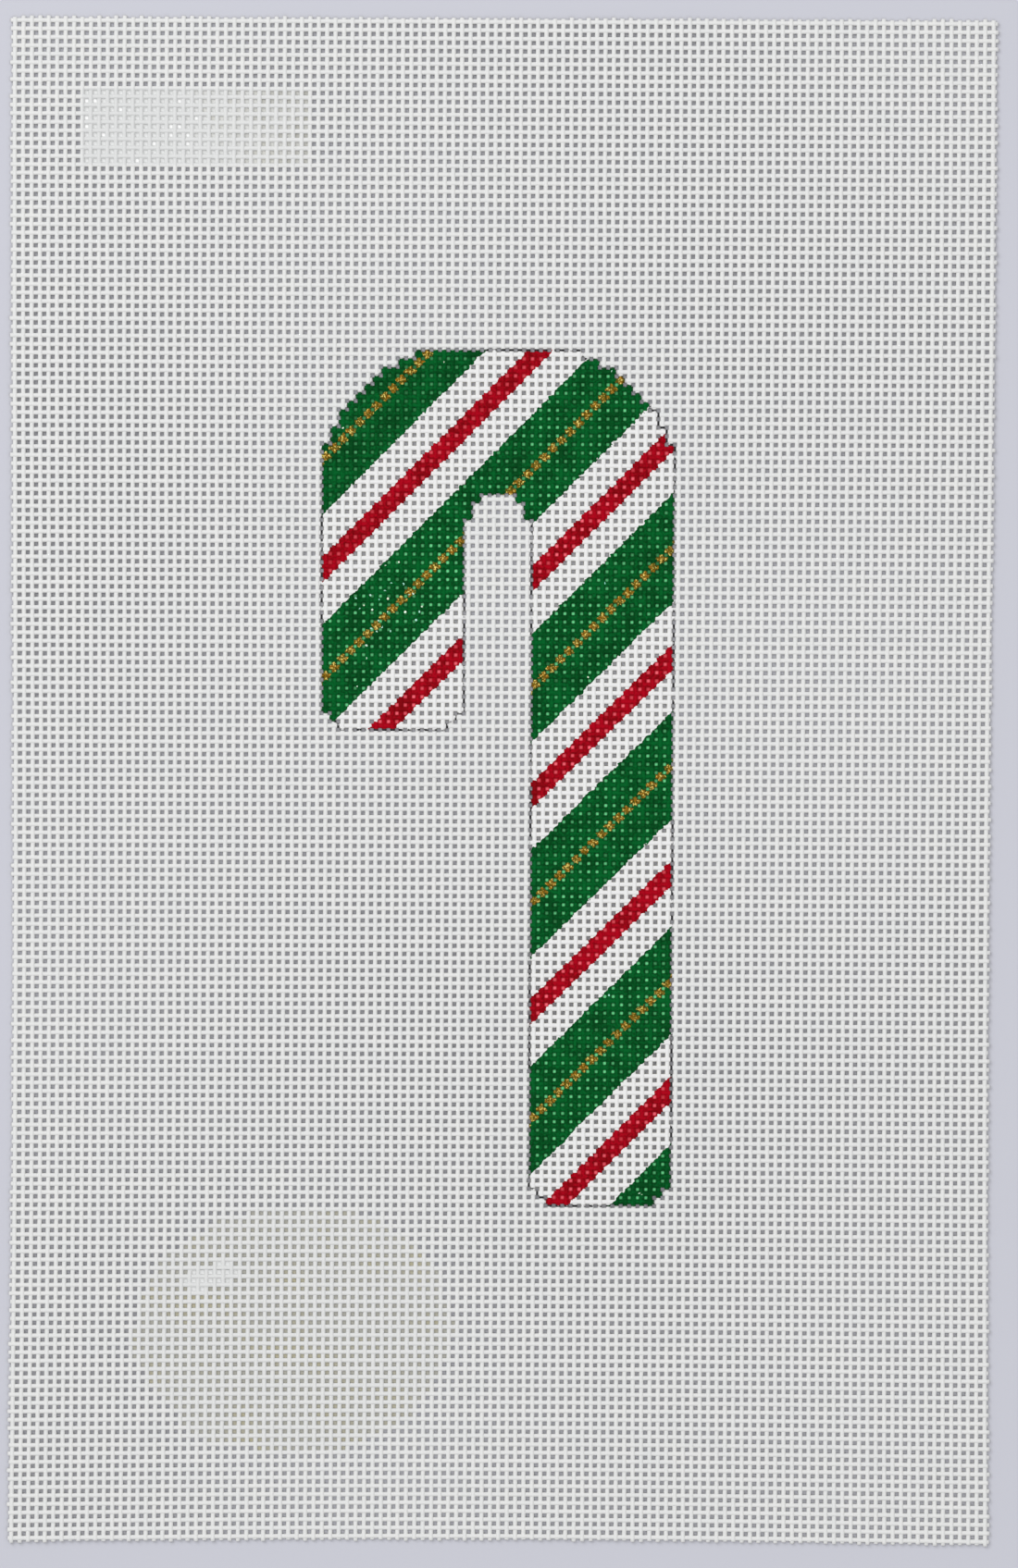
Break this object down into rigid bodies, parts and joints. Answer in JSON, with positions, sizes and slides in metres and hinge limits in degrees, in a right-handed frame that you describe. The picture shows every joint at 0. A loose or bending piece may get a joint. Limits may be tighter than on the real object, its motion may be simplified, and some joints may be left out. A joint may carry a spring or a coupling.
{
  "type": "needlepoint canvas",
  "caption": "Flat painted needlepoint canvas: a stiff, open-weave cotton mesh sheet with wide bare margins and a striped cane painted in its middle.",
  "frame": {"origin": "middle of the underside, on the surface that the canvas lies on", "axes": "+X across the canvas, +Y up the painted design towards the edge above the cane's crook, +Z out of the painted face"},
  "size_m": [0.165, 0.2554, 0.0008],
  "materials": {
    "canvas": "matt sized cotton mesh with a painted design"
  },
  "bodies": {
    "root": {"canvas": "canvas"}
  },
  "joints": []
}
